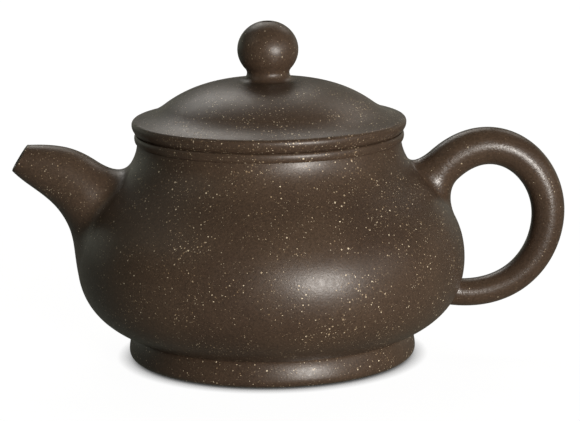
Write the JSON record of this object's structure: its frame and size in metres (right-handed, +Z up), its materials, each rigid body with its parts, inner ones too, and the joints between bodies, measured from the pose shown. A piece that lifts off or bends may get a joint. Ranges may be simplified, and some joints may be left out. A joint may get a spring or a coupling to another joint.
{
  "type": "teapot",
  "caption": "Squat clay teapot with a round belly, short curved spout, ear handle and a domed lift-off lid with a ball knob.",
  "frame": {"origin": "on the pot's axis at the height of the table it stands on", "axes": "+Z up along the pot's axis, spout towards -X, handle towards +X, the side seen in the picture faces -Y"},
  "size_m": [0.1479, 0.104, 0.0902],
  "materials": {
    "pot_clay": "unglazed dark brown stoneware, satin, flecked with tan grains",
    "handle_clay": "unglazed dark brown stoneware, burnished, few grains",
    "lid_clay": "unglazed dark brown stoneware, satin, flecked with tan grains"
  },
  "bodies": {
    "pot": {"base_disc": "pot_clay", "foot_ring": "pot_clay", "belly_wall": "pot_clay", "shoulder_slab": "pot_clay", "neck": "pot_clay", "mouth_ring": "pot_clay", "spout": "pot_clay", "strainer": "pot_clay", "handle": "handle_clay"},
    "lid": {"lid_plate": "lid_clay", "lid_dome": "lid_clay", "lid_flange": "lid_clay", "knob_neck": "lid_clay", "knob": "lid_clay"}
  },
  "joints": [
    {"name": "lid_lift", "type": "slide", "parent": "pot", "child": "lid", "axis": [0, 0, 1], "range_m": [0, 0.06]}
  ]
}
